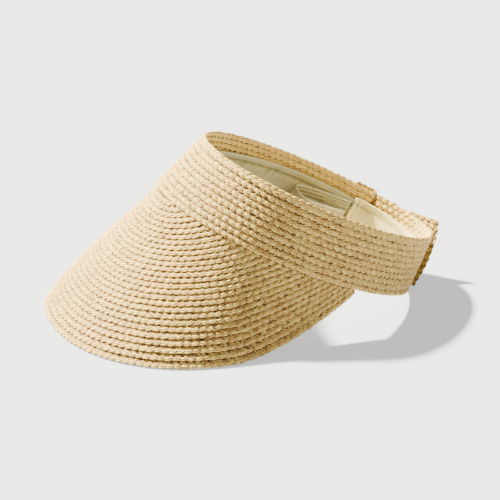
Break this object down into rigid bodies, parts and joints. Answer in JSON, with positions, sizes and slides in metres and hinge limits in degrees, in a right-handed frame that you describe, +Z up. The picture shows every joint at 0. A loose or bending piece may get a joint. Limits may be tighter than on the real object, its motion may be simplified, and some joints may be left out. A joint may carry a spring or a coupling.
{
  "type": "sun visor",
  "caption": "Open-crown straw sun visor: a deep curved brim of plaited rows sewn to a head band that closes at the back with a straw tab; cloth sweatband and ribbon loop inside.",
  "frame": {"origin": "on the surface the visor stands on, under the middle of its bounding box", "axes": "+Z up, -Y towards the front of the brim, +X towards the wearer's left; the head goes in from below along an axis tilted 26.8 degrees back from +Z"},
  "size_m": [0.2232, 0.3229, 0.1382],
  "materials": {
    "straw_plait": "matte plaited straw",
    "fastening_tape": "matte woven tape",
    "sweatband_cloth": "matte woven cloth",
    "lining_cloth": "matte woven cloth",
    "ribbon": "ribbed ribbon",
    "thread": "sewing thread"
  },
  "bodies": {
    "visor": {"brim_row_01": "straw_plait", "brim_row_02": "straw_plait", "brim_row_03": "straw_plait", "brim_row_04": "straw_plait", "brim_row_05": "straw_plait", "brim_row_06": "straw_plait", "brim_row_07": "straw_plait", "brim_row_08": "straw_plait", "brim_row_09": "straw_plait", "brim_row_10": "straw_plait", "brim_row_11": "straw_plait", "brim_row_12": "straw_plait", "brim_row_13": "straw_plait", "brim_row_14": "straw_plait", "brim_row_15": "straw_plait", "brim_row_16": "straw_plait", "brim_row_17": "straw_plait", "brim_row_18": "straw_plait", "brim_row_19": "straw_plait", "brim_row_20": "straw_plait", "brim_row_21": "straw_plait", "brim_row_22": "straw_plait", "brim_row_23": "straw_plait", "brim_row_24": "straw_plait", "brim_row_25": "straw_plait", "brim_row_26": "straw_plait", "brim_row_27": "straw_plait", "brim_row_28": "straw_plait", "band_row_01": "straw_plait", "band_row_02": "straw_plait", "band_row_03": "straw_plait", "band_row_04": "straw_plait", "band_row_05": "straw_plait", "band_row_06": "straw_plait", "band_row_07": "straw_plait", "band_row_08": "straw_plait", "band_row_09": "straw_plait", "band_row_10": "straw_plait", "frayed_plait_end": "straw_plait", "closure_tab_sewn_end": "straw_plait", "loop_patch": "fastening_tape", "sweatband": "sweatband_cloth", "back_lining": "lining_cloth", "ribbon_bar_tack": "thread", "sweatband_stitching": "thread", "lining_stitching": "thread", "tab_stitching": "thread", "brim_seam_stitching": "thread"},
    "tab": {"closure_tab": "straw_plait", "hook_patch": "fastening_tape"},
    "ribbon": {"ribbon_loop": "ribbon"}
  },
  "joints": [
    {"name": "tab_peel", "type": "hinge", "parent": "visor", "child": "tab", "pos_m": [-0.05711, 0.10594, 0.03957], "axis": [0.1048, 0.4616, 0.8809], "range_deg": [0, 80]},
    {"name": "ribbon_swing", "type": "hinge", "parent": "visor", "child": "ribbon", "pos_m": [-0.05657, 0.09303, 0.03735], "axis": [0.1196, 0.4744, 0.8721], "range_deg": [0, 60]}
  ]
}
